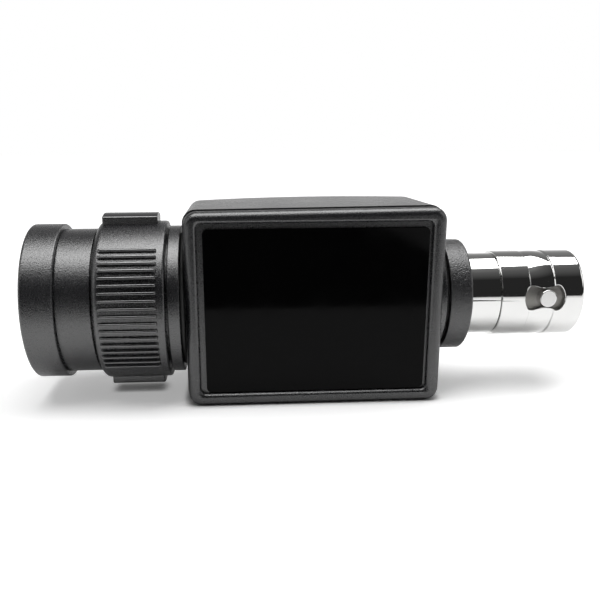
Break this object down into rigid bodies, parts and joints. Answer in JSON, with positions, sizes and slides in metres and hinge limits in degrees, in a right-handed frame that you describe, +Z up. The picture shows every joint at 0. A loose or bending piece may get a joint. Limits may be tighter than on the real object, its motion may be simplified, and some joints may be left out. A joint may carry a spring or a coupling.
{
  "type": "oscilloscope probe termination",
  "caption": "Compensation box at the instrument end of an oscilloscope probe: a moulded box between a ribbed turn-lock cable socket and a bayonet coaxial plug.",
  "frame": {"origin": "on the box's flat underside, under the connectors' common axis and midway between the box's two connector sides", "axes": "+X along the connectors' axis towards the bayonet plug, -Y out of the front with the label plate, +Z up"},
  "size_m": [0.0915, 0.0312, 0.0319],
  "materials": {
    "moulded_black": "fine moulded grain",
    "gloss_black": "smooth gloss",
    "black_rubber": "dull",
    "nickel_plate": "polished plating on brass",
    "steel": "plain",
    "brass_contact": "gold flashed",
    "board_green": "solder mask",
    "white_insulator": "waxy white",
    "component_blue": "moulded body",
    "component_tan": "lacquer",
    "component_yellow": "moulded body",
    "wire_red": "insulation",
    "wire_black": "insulation"
  },
  "bodies": {
    "housing": {"front_cover": "moulded_black", "rear_shell": "moulded_black", "label_plate": "gloss_black", "case_screw_1": "steel", "case_screw_2": "steel", "case_screw_3": "steel", "case_screw_4": "steel", "circuit_board": "board_green", "board_screw_1": "steel", "board_screw_2": "steel", "board_screw_3": "steel", "board_screw_4": "steel", "trimmer_capacitor_body_1": "component_blue", "trimmer_capacitor_body_2": "component_blue", "trimmer_resistor_body": "component_blue", "fixed_resistor_1": "component_tan", "fixed_resistor_2": "component_tan", "fixed_resistor_3": "component_tan", "fixed_capacitor_1": "component_yellow", "fixed_capacitor_2": "component_yellow", "input_wire": "wire_red", "output_wire": "wire_red", "ground_wire": "wire_black", "socket_body": "moulded_black", "end_ring": "moulded_black", "mounting_flange": "moulded_black", "socket_gasket": "black_rubber", "panel_washer": "steel", "panel_nut": "nickel_plate", "socket_insulator": "white_insulator", "centre_socket": "brass_contact", "ground_ring": "brass_contact", "plug_seat_ring": "moulded_black", "collar_gasket": "black_rubber", "collar": "moulded_black", "plug_lock_washer": "steel", "plug_rear_nut": "nickel_plate", "plug_ground_tag": "nickel_plate", "plug_body": "nickel_plate", "plug_insulator": "white_insulator", "plug_centre_pin": "brass_contact", "plug_face_gasket": "black_rubber", "plug_snap_ring": "steel"},
    "coupling_ring": {"coupling_ring": "moulded_black", "latch_ring": "nickel_plate", "drive_key_top": "steel", "drive_key_bottom": "steel"},
    "plug_sleeve": {"plug_sleeve": "nickel_plate"},
    "bayonet_ring": {"bayonet_ring": "nickel_plate", "drive_pin_front": "nickel_plate", "drive_pin_back": "nickel_plate", "spring_washer": "steel"},
    "trimmer_capacitor_rotor_1": {"trimmer_capacitor_rotor_1": "brass_contact"},
    "trimmer_capacitor_rotor_2": {"trimmer_capacitor_rotor_2": "brass_contact"},
    "trimmer_resistor_rotor": {"trimmer_resistor_rotor": "white_insulator"}
  },
  "joints": [
    {"name": "coupling_ring_turn", "type": "hinge", "parent": "housing", "child": "coupling_ring", "pos_m": [-0.02916, 0, 0.0159], "axis": [1, 0, 0], "range_deg": [0, 60]},
    {"name": "plug_sleeve_turn", "type": "hinge", "parent": "housing", "child": "plug_sleeve", "pos_m": [0.03869, 0, 0.0159], "axis": [1, 0, 0], "continuous": true},
    {"name": "bayonet_ring_slide", "type": "slide", "parent": "plug_sleeve", "child": "bayonet_ring", "axis": [1, 0, 0], "range_m": [0, 0.0008], "stiffness_N_per_m": 500, "springref_m": -0.004, "deforming": ["spring_washer"]},
    {"name": "trimmer_capacitor_1_turn", "type": "hinge", "parent": "housing", "child": "trimmer_capacitor_rotor_1", "pos_m": [-0.006, 0.009, 0.0109], "axis": [0, 1, 0], "continuous": true},
    {"name": "trimmer_capacitor_2_turn", "type": "hinge", "parent": "housing", "child": "trimmer_capacitor_rotor_2", "pos_m": [-0.006, 0.009, 0.0209], "axis": [0, 1, 0], "continuous": true},
    {"name": "trimmer_resistor_turn", "type": "hinge", "parent": "housing", "child": "trimmer_resistor_rotor", "pos_m": [0.0045, 0.009, 0.0159], "axis": [0, 1, 0], "range_deg": [-135, 135]}
  ]
}
